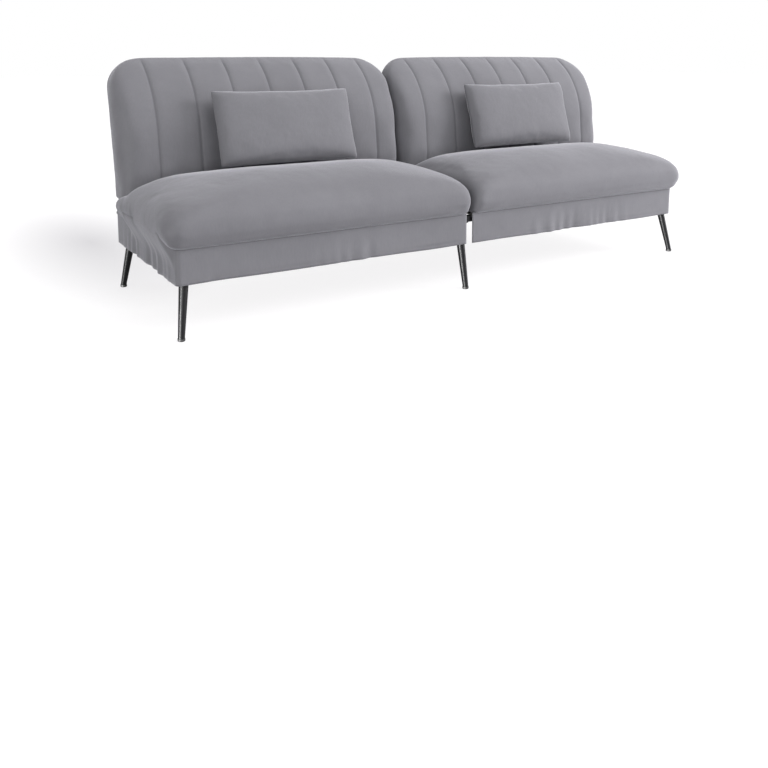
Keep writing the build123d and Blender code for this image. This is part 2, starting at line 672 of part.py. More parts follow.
def cheek():
    foot_z = SKIRT_TOP_Z + BASE_THICK - PIVOT_Z
    waist_z = -HALF_THICK
    points = [(-CHEEK_FOOT / 2, foot_z), (CHEEK_FOOT / 2, foot_z),
              (CHEEK_WAIST / 2, waist_z), (CHEEK_WAIST / 2, 0),
              (-CHEEK_WAIST / 2, 0), (-CHEEK_WAIST / 2, waist_z)]
    face = make_face(Polyline(*points, close=True)) + Circle(CHEEK_R)
    face -= Circle(HINGE_PIN_R + PIN_PLAY)
    face -= Pos(-PAWL_SET, foot_z + PAWL_PIN_UP) * Circle(PAWL_PIN_R + PIN_PLAY)
    return upright_plate(face, CHEEK_THICK)


def hinge_bracket():
    half = CHEEK_FOOT / 2 + 2 * SCREW_HEAD_R + 2 * SCREW_PLAY
    low = SKIRT_TOP_Z - PIVOT_Z
    bracket = block(-BASE_WIDTH / 2, BASE_WIDTH / 2, -half, half, low, low + BASE_THICK)
    for side in (-1, 1):
        bracket += Pos(side * (CHEEK_INNER + CHEEK_OUTER) / 2, 0, 0) * cheek()
    return bracket


def pawl():
    foot_z = SKIRT_TOP_Z + BASE_THICK - PIVOT_Z
    pivot = (-PAWL_SET, foot_z + PAWL_PIN_UP)
    tip = (-PAWL_SET, -HUB_R - PAWL_TIP_GAP - PAWL_WIDTH / 2)
    face = bar_face(pivot, tip, PAWL_WIDTH) - Pos(*pivot) * Circle(PAWL_PIN_R + PIN_PLAY)
    return upright_plate(face, ARM_THICK)


def hinge_nodes(side):
    foot_z = SKIRT_TOP_Z + BASE_THICK - PIVOT_Z
    hinge_pin = headed_pin(HINGE_PIN_R, 2 * CHEEK_OUTER)
    pawl_pin = Pos(0, -PAWL_SET, foot_z + PAWL_PIN_UP) * rod(PAWL_PIN_R, 2 * CHEEK_OUTER)
    screws = hinge_screw_places(side)
    top_z = SKIRT_TOP_Z + BASE_THICK
    brackets, pins, pawls, pawl_pins = [], [], [], []
    for x in hinge_places()[side]:
        place = Pos(x, PIVOT_Y, PIVOT_Z)
        brackets.append(drill(place * hinge_bracket(), screws, top_z, BASE_THICK + OVERRUN))
        pins.append(place * hinge_pin)
        pawls.append(place * pawl())
        pawl_pins.append(place * pawl_pin)
    grip = BASE_THICK + DECK + RAIL_HEIGHT / 2
    return {
        f"{side}_hinge_brackets": brackets,
        f"{side}_hinge_pins": pins,
        f"{side}_hinge_pawls": pawls,
        f"{side}_pawl_pins": pawl_pins,
        f"{side}_hinge_screws": [Pos(x, y, top_z) * screw(grip) for x, y in screws],
    }


# The support frame behind each back: two square legs and a bar between them. It hangs
# from pins on the rear panel, so it stays upright while the back turns under it.

def support_pivot():
    """The support's pivot with the back upright."""
    lean = radians(BACK_LEAN)
    y = PIVOT_Y + SUPPORT_REACH * sin(lean) + SUPPORT_OFFSET * cos(lean)
    z = PIVOT_Z + SUPPORT_REACH * cos(lean) - SUPPORT_OFFSET * sin(lean)
    return y, z


def support_leg():
    length = SUPPORT_TUBE_LENGTH
    tube = Pos(0, 0, SUPPORT_HEAD - length / 2) * tube_z(length, SUPPORT_TUBE, SUPPORT_WALL)
    return tube - rod(SUPPORT_PIN_R + PIN_PLAY, SUPPORT_TUBE + OVERRUN)


def support_foot():
    """A rubber cap round the end of a support leg."""
    half = SUPPORT_TUBE / 2 + CAP_WALL
    cap = block(-half, half, -half, half, -CAP_FLOOR, CAP_SLEEVE)
    socket = Box(SUPPORT_TUBE, SUPPORT_TUBE, 2 * CAP_SLEEVE)
    return cap - Pos(0, 0, CAP_SLEEVE) * socket


def support_nodes(side):
    y, z = support_pivot()
    place = Pos(SIDES[side] * BACK_CENTRE_X, y, z)
    bar = rod(SUPPORT_BAR_R, 2 * SUPPORT_X - SUPPORT_TUBE)
    xs = (-SUPPORT_X, SUPPORT_X)
    return {
        f"{side}_support_legs": [place * Pos(x, 0, 0) * support_leg() for x in xs],
        f"{side}_support_bar": [place * Pos(0, 0, -SUPPORT_BAR_DROP) * bar],
        f"{side}_support_feet": [place * Pos(x, 0, -SUPPORT_DROP) * support_foot()
                                 for x in xs],
    }


# The pillow: a loose lumbar cushion, thick in the middle and thin at its sewn edge.

PILLOW_LEVEL_SHARES = ((0.0, 1.0), (0.20, 0.985), (0.54, 0.90), (0.84, 0.74), (1.0, 0.50))


def pillow_face(size_share, z):
    """A rectangle with its sides pulled in between rounded corners."""
    draw = (1 - size_share) * PILLOW_HEIGHT / 2
    x, y = PILLOW_WIDTH / 2 - draw, PILLOW_HEIGHT / 2 - draw
    r = PILLOW_CORNER_R
    pull = PILLOW_PULL * size_share
    mid = r * (1 - sqrt(0.5))
    edges = []
    for turn_x, turn_y in ((1, -1), (1, 1), (-1, 1), (-1, -1)):
        corner = [(turn_x * (x - r), turn_y * y), (turn_x * x, turn_y * (y - r))]
        bend = (turn_x * (x - mid), turn_y * (y - mid))
        if turn_x != -turn_y:
            corner = corner[::-1]
        edges.append((corner[0], bend, corner[1]))
    wire = []
    pulls = ((x - pull, 0), (0, y - pull), (pull - x, 0), (0, pull - y))
    for i, (start, bend, end) in enumerate(edges):
        wire.append(Edge.make_three_point_arc(start, bend, end))
        wire.append(Edge.make_three_point_arc(end, pulls[i], edges[(i + 1) % 4][0]))
    return Pos(0, 0, z) * Face(Wire(wire))


def pillow(side):
    half = PILLOW_THICK / 2
    upper = [(up * half, size) for up, size in PILLOW_LEVEL_SHARES]
    levels = [(-z, size) for z, size in upper[:0:-1]] + upper
    pad = loft([pillow_face(size, z) for z, size in levels], ruled=True)
    x = SIDES[side] * BACK_CENTRE_X + PILLOW_SHIFT[side]
    place = Pos(x, PIVOT_Y - PILLOW_FORWARD, SEAT_CROWN_Z + PILLOW_RISE)
    return place * Rot(90 - PILLOW_LEAN, 0, 0) * pad


def all_nodes():
    nodes = frame_rails()
    nodes.update(legs())
    for side in SIDES:
        nodes[f"{side}_deck"] = [deck(side)]
        nodes[f"{side}_skirt"] = skirt(side)
        nodes[f"{side}_seat_cushion"] = [seat_cushion(side)]
        nodes.update(hinge_nodes(side))
        nodes.update(back_nodes(side))
        nodes.update(support_nodes(side))
        nodes[f"{side}_pillow"] = [pillow(side)]
    return {name: group(solids) for name, solids in nodes.items()}


def main():
    os.makedirs("parts", exist_ok=True)
    nodes = all_nodes()
    box = Compound([solid for node in nodes.values() for solid in node.solids()]).bounding_box()
    shift = Pos(0, -box.center().Y, 0)
    for name, shape in nodes.items():
        export_step(shift * shape, f"parts/{name}.step")
    pivot_y, pivot_z = support_pivot()
    print("box", box.size, "moved along Y by", -box.center().Y)
    print("recline pivot y, z:", PIVOT_Y - box.center().Y, PIVOT_Z)
    print("support pivot y, z:", pivot_y - box.center().Y, pivot_z)


main()
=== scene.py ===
import json
from math import pi, radians

import bmesh
import bpy
import numpy as np
from mathutils import Matrix, Vector, noise


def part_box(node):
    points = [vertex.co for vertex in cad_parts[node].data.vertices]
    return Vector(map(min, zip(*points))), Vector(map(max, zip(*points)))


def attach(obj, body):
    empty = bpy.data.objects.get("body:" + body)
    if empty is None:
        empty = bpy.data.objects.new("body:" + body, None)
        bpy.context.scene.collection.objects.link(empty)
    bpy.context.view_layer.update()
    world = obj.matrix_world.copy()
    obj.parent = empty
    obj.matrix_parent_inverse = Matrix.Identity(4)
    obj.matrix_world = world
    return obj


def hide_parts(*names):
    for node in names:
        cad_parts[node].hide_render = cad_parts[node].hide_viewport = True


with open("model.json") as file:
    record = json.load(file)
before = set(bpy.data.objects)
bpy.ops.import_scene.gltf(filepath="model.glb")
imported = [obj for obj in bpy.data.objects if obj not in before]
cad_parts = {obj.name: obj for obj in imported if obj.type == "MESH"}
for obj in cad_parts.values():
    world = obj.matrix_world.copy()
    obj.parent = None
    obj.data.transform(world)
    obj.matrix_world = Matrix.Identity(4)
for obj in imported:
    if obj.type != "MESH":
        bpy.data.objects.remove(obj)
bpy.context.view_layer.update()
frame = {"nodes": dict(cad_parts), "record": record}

# The room: a photographer's white floor in a bright white surround. One broad light stands
# over the camera's right shoulder, two far to the right, a fill to the camera's left, and
# a low one only glints in the steel. The camera looks down a little at the sofa.

camera_data = bpy.data.cameras.new("camera")
camera_data.lens = 37.908
camera_data.sensor_width = 36.0
camera_data.shift_y = -0.2396
camera = bpy.data.objects.new("camera", camera_data)
camera.location = (-1.6890, -2.4961, 0.7980)
camera.rotation_euler = (pi / 2 - 0.1762, 0, -0.5507)
bpy.context.scene.collection.objects.link(camera)
bpy.context.scene.camera = camera


def shown(name, bm, smooth=True):
    """Makes a mesh object at the origin from a finished bmesh."""
    mesh = bpy.data.meshes.new(name)
    bm.to_mesh(mesh)
    bm.free()
    for face in mesh.polygons:
        face.use_smooth = smooth
    piece = bpy.data.objects.new(name, mesh)
    bpy.context.scene.collection.objects.link(piece)
    return piece


def lamp(name, kind, energy, colour, turn, place=(0, 0, 3), **settings):
    """A lamp turned by angles in degrees; gives back the object that holds it."""
    light = bpy.data.lights.new(name, kind)
    light.energy = energy
    light.color = colour
    for key, value in settings.items():
        setattr(light, key, value)
    holder = bpy.data.objects.new(name, light)
    holder.location = place
    holder.rotation_euler = [radians(angle) for angle in turn]
    bpy.context.scene.collection.objects.link(holder)
    return holder


class Finish:
    """One socket in a material's nodes; arithmetic on it adds Math nodes."""

    def __init__(self, tree, socket=None):
        self.tree = tree
        self.socket = socket

    def node(self, kind, settings=None, sockets=None, out=0):
        """Any node: its settings come first, then the values or links of its sockets."""
        made = self.tree.nodes.new(kind)
        for key, value in (settings or {}).items():
            if key == "stops":
                ramp = made.color_ramp
                while len(ramp.elements) < len(value):
                    ramp.elements.new(0.5)
                for element, (at, tone) in zip(ramp.elements, value):
                    element.position = at
                    element.color = tone
            else:
                setattr(made, key, value)
        for key, value in (sockets or {}).items():
            if isinstance(value, Finish):
                self.tree.links.new(value.socket, made.inputs[key])
            else:
                made.inputs[key].default_value = value
        return Finish(self.tree, made.outputs[out] if made.outputs else None)

    def sum_of(self, operation, first, second):
        return self.node("ShaderNodeMath", {"operation": operation}, {0: first, 1: second})

    def __add__(self, other):
        return self.sum_of("ADD", self, other)

    def __radd__(self, other):
        return self.sum_of("ADD", other, self)

    def __sub__(self, other):
        return self.sum_of("SUBTRACT", self, other)

    def __rsub__(self, other):
        return self.sum_of("SUBTRACT", other, self)

    def __mul__(self, other):
        return self.sum_of("MULTIPLY", self, other)

    def __rmul__(self, other):
        return self.sum_of("MULTIPLY", other, self)

    def grain(self, scale, detail=2.0, rough=0.5, at=None):
        """Noise from 0 to 1 on the piece's own coordinates, in grains per metre."""
        sockets = {"Scale": scale, "Detail": detail, "Roughness": rough}
        sockets["Vector"] = at if at else self.place()
        return self.node("ShaderNodeTexNoise", {"noise_dimensions": "3D"}, sockets)

    def place(self, scale=(1, 1, 1), at=(0, 0, 0)):
        """The piece's own coordinates in metres, stretched round a point."""
        spot = self.node("ShaderNodeTexCoord", out=3)
        shift = [-s * p for s, p in zip(scale, at)]
        return self.node("ShaderNodeMapping", {}, {"Vector": spot, "Scale": scale,
                                                   "Location": shift})

    def tone(self, share, dark, light):
        """A colour between two, by a share."""
        return self.node("ShaderNodeMix", {"data_type": "RGBA"},
                         {0: share, 6: (*dark, 1), 7: (*light, 1)}, out=2)

    def relief(self, height, strength, distance):
        return self.node("ShaderNodeBump", {}, {"Height": height, "Strength": strength,
                                                "Distance": distance})

    def surface(self, **sockets):
        """Ends the material: a principled shader with these sockets, linked to the output."""
        shader = self.node("ShaderNodeBsdfPrincipled", {},
                           {key.replace("_", " "): value for key, value in sockets.items()})
        self.node("ShaderNodeOutputMaterial", {}, {0: shader})


def new_finish(name):
    material = bpy.data.materials.new(name)
    material.use_nodes = True
    material.node_tree.nodes.clear()
    return material, Finish(material.node_tree)


def dress(piece, material):
    """Gives a piece one material in all its slots."""
    if not piece.data.materials:
        piece.data.materials.append(material)
    for slot in piece.material_slots:
        slot.material = material


# The floor glows evenly for the camera only; all other rays see it as plain paint. Its glow is
# darker in a soft oval around a point behind the sofa's left end: a painted shadow.
PAINTED_SHADOW_MIDDLE = (-0.98, 1.10, 0)
PAINTED_SHADOW_REACH = (0.42, 1.10)

white_paint, coat = new_finish("studio_floor_paint")
painted_shadow_place = coat.place((1 / PAINTED_SHADOW_REACH[0], 1 / PAINTED_SHADOW_REACH[1], 1), at=PAINTED_SHADOW_MIDDLE)
painted_shadow_share = coat.node("ShaderNodeTexGradient", {"gradient_type": "SPHERICAL"},
                  {"Vector": painted_shadow_place}, out=1)
floor_glow_with_painted_shadow = coat.tone(painted_shadow_share, (1.0, 0.992, 1.0), (0.60, 0.59, 0.61))
lit_paint = coat.node("ShaderNodeBsdfPrincipled", {}, {
    "Base Color": (0.16, 0.16, 0.162, 1), "Roughness": 0.8, "Specular IOR Level": 0.1,
    "Emission Color": floor_glow_with_painted_shadow, "Emission Strength": 0.86})
bare_paint = coat.node("ShaderNodeBsdfPrincipled", {}, {
    "Base Color": (0.62, 0.62, 0.63, 1), "Roughness": 0.8, "Specular IOR Level": 0.2})
seen = coat.node("ShaderNodeLightPath")
floor_paint = coat.node("ShaderNodeMixShader", {}, {0: seen, 1: bare_paint, 2: lit_paint})
coat.node("ShaderNodeOutputMaterial", {}, {0: floor_paint})
bm = bmesh.new()
bmesh.ops.create_grid(bm, x_segments=2, y_segments=2, size=30)
floor = shown("studio_floor", bm, smooth=False)
dress(floor, white_paint)
floor.visible_shadow = False

world = bpy.data.worlds.new("studio")
bpy.context.scene.world = world
world.use_nodes = True
world.node_tree.nodes.clear()
sky = Finish(world.node_tree)
sideways = sky.node("ShaderNodeSeparateXYZ", {}, {0: sky.node("ShaderNodeTexCoord")})
lit_walls = sky.node("ShaderNodeBackground", {}, {1: sideways * 0.03 + 1.0})
white_walls = sky.node("ShaderNodeBackground", {}, {0: (1, 1, 1, 1), 1: 1.0})
walls = sky.node("ShaderNodeMixShader", {}, {0: sky.node("ShaderNodeLightPath"),
                                             1: lit_walls, 2: white_walls})
sky.node("ShaderNodeOutputWorld", {}, {0: walls})
bpy.context.scene.view_settings.view_transform = "Standard"
lamp("key", "SUN", 1.85, (1.0, 0.99, 0.98), (40, 0, 34), angle=radians(50))
lamp("right", "AREA", 190, (1.0, 0.99, 1.0), (62, 0, 58), place=(4.0, -2.6, 2.3), size=1.6)
lamp("low right", "SUN", 1.05, (1.0, 0.99, 1.0), (82, 0, 65), angle=radians(30))
lamp("fill", "SUN", 1.20, (1.0, 1.0, 1.0), (78, 0, -45), angle=radians(40))
glint = lamp("glint", "SUN", 15.0, (1.0, 1.0, 1.0), (98, 0, -71.6), angle=radians(30))
glint.visible_diffuse = False

# Seat cushions. Each is a thick foam pad in a sewn velvet cover. It lies flat on the
# deck, swells out over the skirt at the front and ends and is crowned on top, and the
# cover is drawn in under the swell, where it meets the skirt's band.

velvet, pile = new_finish("grey_velvet")
brushed = pile.grain(3.2, 3.0, 0.55)
patches = pile.grain(14.0, 4.0, 0.6)
strands = pile.grain(260.0, 2.0, 0.6, pile.place((1, 1, 0.16)))
tufts = pile.grain(1400.0, 1.0, 0.5)
# Along sewn lines the velvet's colour is darker: painted shade along the seams, and dirt.
seam_shade_and_dirt = pile.node("ShaderNodeAttribute", {"attribute_name": "sewn"}, out=2)
shade = 0.5 + (brushed - 0.5) * 0.55 + (patches - 0.5) * 0.35 + (strands - 0.5) * 0.30
shade = shade + (tufts - 0.5) * 0.25 - seam_shade_and_dirt * 0.55
velvet_colour = pile.tone(shade, (0.092, 0.091, 0.100), (0.152, 0.151, 0.164))
pile.surface(
    Base_Color=velvet_colour,
    Roughness=0.62 + (strands - 0.5) * 0.25 + (patches - 0.5) * 0.15,
    Specular_IOR_Level=0.05,
    Sheen_Weight=0.42,
    Sheen_Roughness=0.42,
    Sheen_Tint=(0.86, 0.86, 0.92, 1),
    Normal=pile.relief(strands * 0.6 + tufts * 0.4 + patches * 2.0, 0.35, 0.0012),
)

SEAT_LEVELS = (
    # height share; draw at the outer end, inner end, front and rear; then how far each
    # front and rear corner is rounded along the seat and across it
    (0.000, 0.0300, 0.0127, 0.0450, 0.0030, 0.020, 0.020, 0.012, 0.012),
    (0.060, 0.0110, 0.0095, 0.0250, 0.0010, 0.028, 0.028, 0.013, 0.013),
    (0.140, -0.0050, 0.0040, 0.0105, 0.0000, 0.040, 0.040, 0.014, 0.014),
    (0.200, -0.0135, 0.0010, 0.0040, 0.0000, 0.046, 0.046, 0.015, 0.015),
    (0.280, -0.0170, 0.0000, 0.0000, 0.0000, 0.052, 0.052, 0.016, 0.015),
    (0.450, -0.0140, 0.0010, 0.0030, 0.0000, 0.066, 0.062, 0.022, 0.018),
    (0.560, -0.0060, 0.0040, 0.0110, 0.0010, 0.088, 0.080, 0.032, 0.024),
    (0.640, 0.0110, 0.0160, 0.0250, 0.0030, 0.112, 0.100, 0.046, 0.032),
    (0.700, 0.0360, 0.0380, 0.0400, 0.0070, 0.140, 0.120, 0.064, 0.042),
    (0.760, 0.0670, 0.0680, 0.0560, 0.0140, 0.168, 0.140, 0.088, 0.054),
    (0.820, 0.1010, 0.1010, 0.0770, 0.0270, 0.196, 0.152, 0.112, 0.066),
    (0.870, 0.1400, 0.1400, 0.1000, 0.0680, 0.214, 0.150, 0.130, 0.072),
    (0.915, 0.1850, 0.1850, 0.1220, 0.1180, 0.222, 0.128, 0.140, 0.070),
    (0.950, 0.2350, 0.2350, 0.1450, 0.1640, 0.216, 0.090, 0.136, 0.052),
    (0.978, 0.2950, 0.2950, 0.1700, 0.2000, 0.170, 0.050, 0.110, 0.032),
    (1.000, 0.3700, 0.3700, 0.2000, 0.2350, 0.080, 0.012, 0.060, 0.010),
)
END_ROLL = (
    # height share; draw at the outer end; how far the roll at the seat's end reaches back
    (0.020, 0.0220, 0.170),
    (0.060, 0.0090, 0.188),
    (0.140, -0.0080, 0.202),
    (0.220, -0.0180, 0.209),
    (0.300, -0.0200, 0.208),
    (0.380, -0.0190, 0.198),
    (0.440, -0.0150, 0.182),
    (0.490, -0.0080, 0.156),
    (0.530, 0.0030, 0.116),
)
END_PROUD = 0.020
ROLL_THICK = 0.050
ROLL_CORNER = ROLL_THICK * 0.45
ROLL_ROOM = 0.012
SEWN_AT = 0.308
SEAT_FOOT = 0.015
SEAT_FREE = 0.02
SEAT_CROWN = 0.095
REAR_HELD = 0.01
SEAT_SWELL = 0.004
SEAT_DENTS = 0.0016
SEAT_VOXEL = 0.011
CORNER_POINTS = 12


def rounded_ring(bm, x0, x1, y0, y1, z, front_x, front_y, rear_x, rear_y, tight=(0, 1)):
    """A level ring: a circle whose four quarters are drawn out to the corners. The front
    corner on the side tight[0] is rounded less, by the share tight[1]."""
    made = bmesh.ops.create_circle(bm, segments=4 * CORNER_POINTS, radius=1,
                                   matrix=Matrix.Rotation(pi / 4 / CORNER_POINTS, 4, "Z"))
    ring = made["verts"]
    middle = Vector(((x0 + x1) / 2, (y0 + y1) / 2, z))
    quarters = {(sx, sy): [v for v in ring if v.co.x * sx > 0 and v.co.y * sy > 0]
                for sx in (-1, 1) for sy in (-1, 1)}
    for (sx, sy), quarter in quarters.items():
        rx, ry = (front_x, front_y) if sy < 0 else (rear_x, rear_y)
        if (sx, sy) == (tight[0], -1):
            rx, ry = rx * tight[1], ry * tight[1]
        reach = Vector((sx * ((x1 - x0) / 2 - rx), sy * ((y1 - y0) / 2 - ry), 0))
        bmesh.ops.scale(bm, vec=(rx, ry, 1), verts=quarter)
        bmesh.ops.translate(bm, verts=quarter, vec=middle + reach)
    return ring


def stacked(bm, rings):
    """Joins level rings into a closed skin."""
    loops = [{e for v in ring for e in v.link_edges} for ring in rings]
    for lower, upper in zip(loops, loops[1:]):
        bmesh.ops.bridge_loops(bm, edges=list(lower | upper))
    for loop in (loops[0], loops[-1]):
        bmesh.ops.contextual_create(bm, geom=list(loop))
    bmesh.ops.recalc_face_normals(bm, faces=bm.faces)


def points_of(piece):
    points = np.empty(len(piece.data.vertices) * 3, np.float32)
    piece.data.vertices.foreach_get("co", points)
    return points.reshape(-1, 3).astype(float)


def normals_of(piece):
    normals = np.empty(len(piece.data.vertices) * 3, np.float32)
    piece.data.vertex_normals.foreach_get("vector", normals)
    return normals.reshape(-1, 3).astype(float)


def put_points(piece, points):
    piece.data.vertices.foreach_set("co", points.astype(np.float32).ravel())
    piece.data.update()


def ease(values, start, end):
    """0 before start, 1 after end and smooth between."""
    share = np.clip((values - start) / (end - start), 0, 1)
    return share * share * (3 - 2 * share)


def settled(piece):
    """Applies a piece's modifiers to its mesh."""
    graph = bpy.context.evaluated_depsgraph_get()
    mesh = bpy.data.meshes.new_from_object(piece.evaluated_get(graph))
    piece.modifiers.clear()
    piece.data = mesh
    for face in mesh.polygons:
        face.use_smooth = True


def remeshed(piece, voxel, shift=0.0):
    """Voxel remesh, with the columns moved along X so that they meet the sewn lines."""
    piece.data.transform(Matrix.Translation((shift, 0, 0)))
    remesh = piece.modifiers.new("even mesh", "REMESH")
    remesh.mode = "VOXEL"
    remesh.voxel_size = voxel
    settled(piece)
    piece.data.transform(Matrix.Translation((-shift, 0, 0)))


def relaxed(piece, turns, free):
    """Evens out the points that are free, a number of times."""
    bm = bmesh.new()
    bm.from_mesh(piece.data)
    loose = [v for v in bm.verts if free(v.co)]
    for _ in range(turns):
        bmesh.ops.smooth_vert(bm, verts=loose, factor=0.5, use_axis_x=True,
                              use_axis_y=True, use_axis_z=True)
    bm.to_mesh(piece.data)
    bm.free()


def blown_up(piece, held, pressure, cap, slack=0.0, stiff=12.0, bend=0.5):
    """Blows the cover up as cloth for 20 frames, with the held points sewn down, and
    stops each point at the cap."""
    start = points_of(piece)
    pins = piece.vertex_groups.new(name="sewn_down")
    pins.add([int(i) for i in np.flatnonzero(held)], 1.0, "REPLACE")
    cloth = piece.modifiers.new("cover", "CLOTH")
    cover = cloth.settings
    cover.quality = 5
    cover.mass = 0.3
    cover.tension_stiffness = cover.compression_stiffness = stiff
    cover.shear_stiffness = stiff / 2
    cover.bending_stiffness = bend
    cover.vertex_group_mass = "sewn_down"
    cover.use_pressure = True
    cover.uniform_pressure_force = pressure
    cover.shrink_min = -slack
    cover.effector_weights.gravity = 0
    cloth.collision_settings.use_collision = False
    cloth.point_cache.frame_start = 1
    cloth.point_cache.frame_end = 20
    for step in range(1, 21):
        bpy.context.scene.frame_set(step)
    settled(piece)
    piece.vertex_groups.clear()
    moves = points_of(piece) - start
    length = np.linalg.norm(moves, axis=1, keepdims=True)
    put_points(piece, start + moves * np.minimum(1, cap / np.maximum(length, 1e-9)))
    bpy.context.scene.frame_set(1)


def rounder(piece):
    """One turn of subdivision."""
    curve = piece.modifiers.new("rounder", "SUBSURF")
    curve.levels = curve.render_levels = 1
    settled(piece)


def dents(points, scale, seed):
    """Uneven stuffing: soft noise from about -1 to 1 at each point."""
    return np.array([noise.fractal(Vector(p) * scale + Vector((seed, seed, seed)),
                                   0.8, 2.1, 4) for p in points])


def mark_seam_shade_and_dirt(piece, values):
    """Writes how near each point is to a sewn line. The velvet is painted darker there: painted
    shade along the seam, and dirt.
    """
    mark = piece.data.attributes.new("sewn", "FLOAT", "POINT")
    mark.data.foreach_set("value", np.asarray(values, np.float32))


def upholstered(piece, body, node):
    """Velvet, the body it rides on and the solid it stands for."""
    dress(piece, velvet)
    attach(piece, body)
    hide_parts(node)


seat_ends = {}
for side, sign in (("left", -1), ("right", 1)):
    low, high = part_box(f"{side}_seat_cushion")
    bm = bmesh.new()
    rings = []
    for height, outer, inner, front, rear, *corners in SEAT_LEVELS:
        left, right = (outer, inner) if sign < 0 else (inner, outer)
        rings.append(rounded_ring(bm, low.x + left, high.x - right, low.y + front,
                                  high.y - rear, low.z + height * (high.z - low.z), *corners,
                                  tight=(-sign, 0.55 + 0.45 * ease(height, 0.3, 0.8))))
    stacked(bm, rings)
    rings = []
    for height, outer, reach in END_ROLL:
        left = low.x + outer if sign < 0 else high.x - outer - ROLL_THICK
        rings.append(rounded_ring(bm, left, left + ROLL_THICK, 0.0, reach,
                                  low.z + height * (high.z - low.z), *[ROLL_CORNER] * 4))
    stacked(bm, rings)
    seat = shown(f"{side}_seat", bm)
    remeshed(seat, SEAT_VOXEL)
    relaxed(seat, 4, lambda co: co.z > low.z + SEAT_FREE and co.y < high.y - REAR_HELD)
    relaxed(seat, 2, lambda co: co.z > low.z + SEAT_FREE)
    relaxed(seat, 10, lambda co: co.z > low.z + SEAT_CROWN)
    points = points_of(seat)
    lift = ease(points[:, 2], low.z + SEAT_FREE, low.z + 0.06)
    put_points(seat, points - normals_of(seat) * (SEAT_SWELL / 2) * lift[:, None])
    blown_up(seat, points[:, 2] < low.z + SEAT_FOOT, pressure=1.2, cap=SEAT_SWELL)
    relaxed(seat, 3, lambda co: co.z > low.z + SEAT_FREE and co.y < high.y - REAR_HELD)
    rounder(seat)
    points = points_of(seat)
    lift = ease(points[:, 2], low.z, low.z + 0.05)
    uneven = dents(points, 5.0, 3.0 + sign) * SEAT_DENTS * lift
    points += normals_of(seat) * uneven[:, None]
    # The cover stays clear of the back, but for the roll at the sofa's end beside it.
    outer_x = (low.x if sign < 0 else high.x) + sign * END_PROUD
    points[:, 0] = np.clip(points[:, 0], min(outer_x, low.x), max(outer_x, high.x))
    behind = sign * points[:, 0] < max(-low.x, high.x) - ROLL_THICK - ROLL_ROOM
    points[behind, 1] = np.minimum(points[behind, 1], high.y + 0.001)
    points[:, 2] = np.maximum(points[:, 2], low.z)
    put_points(seat, points)
    # How far out the seat's end stands where the skirt meets it, from front to rear.
    places = np.linspace(low.y, high.y + 0.10, 40)
    level = np.abs(points[:, 2] - SEWN_AT) < 0.006
    seat_ends[side] = places, [(sign * points[level & (np.abs(points[:, 1] - y) < 0.012), 0]
                                ).max(initial=0) for y in places]
    upholstered(seat, "base", f"{side}_seat_cushion")

# Deck covers. Behind each cushion, under the back, the deck is covered with velvet over
# thin wadding, stapled along the rear. It is cut out round the hinge brackets.

COVER_PROUD = 0.0015
COVER_TOP = 0.2735
COVER_LAP = 0.030
COVER_DROP = 0.0035
COVER_EDGE = 0.011
COVER_WAVES = 0.0010
COVER_VOXEL = 0.0055
BRACKET_ROOM = (0.024, 0.052)
BACK_MIDDLE = 0.5315
HINGE_STEP = 0.390
HINGE_LINE = (0.1980835, 0.35)


def cut_away(piece, cutters):
    """Cuts boxes, given by two corners, out of a piece."""
    tools = []
    for low_corner, high_corner in cutters:
        low_corner, high_corner = Vector(low_corner), Vector(high_corner)
        bm = bmesh.new()
        bmesh.ops.create_cube(bm, size=1)
        bmesh.ops.scale(bm, vec=high_corner - low_corner, verts=bm.verts)
        bmesh.ops.translate(bm, vec=(low_corner + high_corner) / 2, verts=bm.verts)
        tool = shown("cutter", bm, smooth=False)
        tools.append(tool)
        cut = piece.modifiers.new("cut", "BOOLEAN")
        cut.operation = "DIFFERENCE"
        cut.solver = "EXACT"
        cut.object = tool
    settled(piece)
    for tool in tools:
        bpy.data.objects.remove(tool)


for side, sign in (("left", -1), ("right", 1)):
    deck_low, deck_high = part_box(f"{side}_skirt")
    seat_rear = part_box(f"{side}_seat_cushion")[1].y
    low = Vector((deck_low.x - COVER_PROUD, seat_rear - COVER_LAP, deck_high.z - COVER_DROP))
    high = Vector((deck_high.x + COVER_PROUD, deck_high.y + COVER_PROUD, COVER_TOP))
    bm = bmesh.new()
    bmesh.ops.create_cube(bm, size=1)
    bmesh.ops.scale(bm, vec=high - low, verts=bm.verts)
    bmesh.ops.translate(bm, vec=(low + high) / 2, verts=bm.verts)
    rim = [e for e in bm.edges if all(v.co.z > high.z - 0.001 for v in e.verts)]
    bmesh.ops.bevel(bm, geom=rim, offset=COVER_EDGE, offset_type="OFFSET", segments=5,
                    profile=0.5, affect="EDGES", material=-1)
    cover = shown(f"{side}_deck_cover", bm)
    remeshed(cover, COVER_VOXEL)
    points = points_of(cover)
    wave = dents(points, 9.0, 31.0 + sign) * COVER_WAVES * ease(points[:, 2], low.z, high.z)
    points[:, 2] = np.minimum(points[:, 2] + wave - 0.0008, COVER_TOP)
    put_points(cover, points)
    places = [sign * BACK_MIDDLE + s * HINGE_STEP for s in (-1, 1)]
    cut_away(cover, [((x - BRACKET_ROOM[0], HINGE_LINE[0] - BRACKET_ROOM[1], low.z - 0.01),
                      (x + BRACKET_ROOM[0], HINGE_LINE[0] + BRACKET_ROOM[1], high.z + 0.01))
                     for x in places])
    dress(cover, velvet)
    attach(cover, "base")

# Skirts. Under each seat hangs a strip of the same velvet with a lining and a stitched
# hem, stapled to the edge of the deck. It is cut longer than the frame, so it falls into
# soft folds, and at the end of the sofa it is drawn up and out to the swell of the seat.

